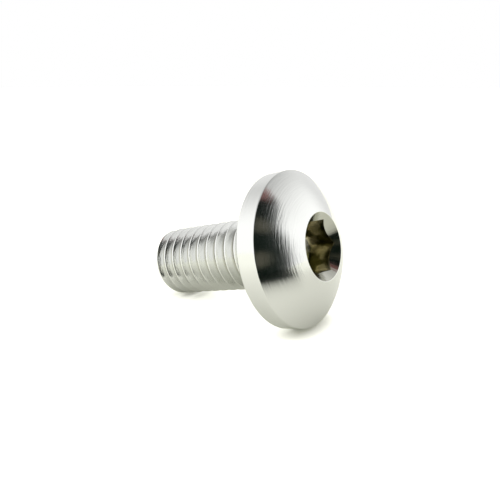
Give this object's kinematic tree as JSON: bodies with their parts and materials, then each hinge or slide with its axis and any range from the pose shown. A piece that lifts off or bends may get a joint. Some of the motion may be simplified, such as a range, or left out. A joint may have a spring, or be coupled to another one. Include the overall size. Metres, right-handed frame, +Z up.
{
  "type": "button head screw",
  "caption": "Metric screw with a low domed head, a hexagon socket and a coarse thread along its shank, lying on its side.",
  "frame": {"origin": "on the surface that the screw lies on, under the middle of its bounding box", "axes": "+Z up from that surface; +X along the screw from its thread end towards its head, level; +Y across it"},
  "size_m": [0.0166, 0.0124, 0.0123],
  "materials": {
    "steel": "turned stainless steel, bright, with fine rings from the lathe"
  },
  "bodies": {
    "root": {"screw": "steel"}
  },
  "joints": []
}
